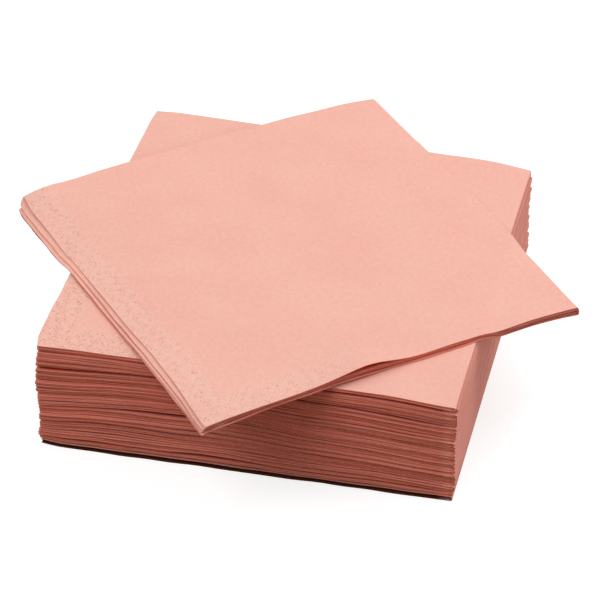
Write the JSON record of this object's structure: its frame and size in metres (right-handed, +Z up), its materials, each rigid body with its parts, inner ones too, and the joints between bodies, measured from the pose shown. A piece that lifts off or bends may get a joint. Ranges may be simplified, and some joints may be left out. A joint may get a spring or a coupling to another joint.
{
  "type": "stack of paper napkins",
  "caption": "Square stack of paper napkins folded in four, fanned out on its open side, with one more napkin lying loose and turned on top.",
  "frame": {"origin": "centre of the foot of the stack, on the underside of the lowest napkin", "axes": "+Z up through the stack; +X towards the side with each napkin's second fold; +Y towards the side with each napkin's first fold, so the open corner points to -X -Y"},
  "size_m": [0.2825, 0.2828, 0.0674],
  "materials": {
    "tissue": "matt dyed tissue, peach pink, with a band of fine embossed dots along the cut edges"
  },
  "bodies": {
    "root": {"napkin_01": "tissue", "napkin_02": "tissue", "napkin_03": "tissue", "napkin_04": "tissue", "napkin_05": "tissue", "napkin_06": "tissue", "napkin_07": "tissue", "napkin_08": "tissue", "napkin_09": "tissue", "napkin_10": "tissue", "napkin_11": "tissue", "napkin_12": "tissue", "napkin_13": "tissue", "napkin_14": "tissue", "napkin_15": "tissue", "napkin_16": "tissue", "napkin_17": "tissue", "napkin_18": "tissue", "napkin_19": "tissue", "napkin_20": "tissue", "napkin_21": "tissue", "napkin_22": "tissue", "napkin_23": "tissue", "napkin_24": "tissue", "napkin_25": "tissue", "top_napkin": "tissue"}
  },
  "joints": []
}
